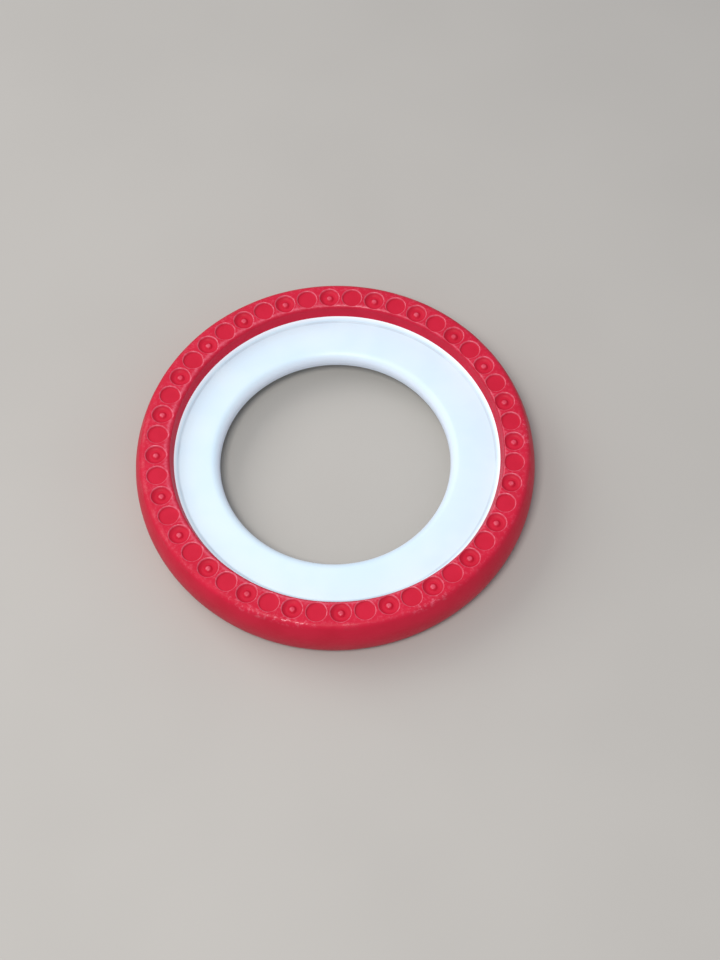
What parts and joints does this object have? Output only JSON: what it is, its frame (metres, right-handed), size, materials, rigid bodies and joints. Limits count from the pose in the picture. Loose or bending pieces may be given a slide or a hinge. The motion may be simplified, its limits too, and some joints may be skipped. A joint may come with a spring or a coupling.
{
  "type": "flying ring",
  "caption": "Small flying ring: a flat rigid white ring with a rounded hole edge, and a soft thick red rim with a circle of plain and studded dimples on each face.",
  "frame": {"origin": "centre of the ring on the surface that it lies on", "axes": "+Z along the ring's axis, away from the surface; +X and +Y in the ring's plane"},
  "size_m": [0.09, 0.09, 0.0129],
  "materials": {
    "core_plastic": "smooth white moulded plastic, satin gloss",
    "rim_rubber": "soft red moulded elastomer, satin sheen"
  },
  "bodies": {
    "root": {"core_ring": "core_plastic", "grip_rim": "rim_rubber"}
  },
  "joints": []
}
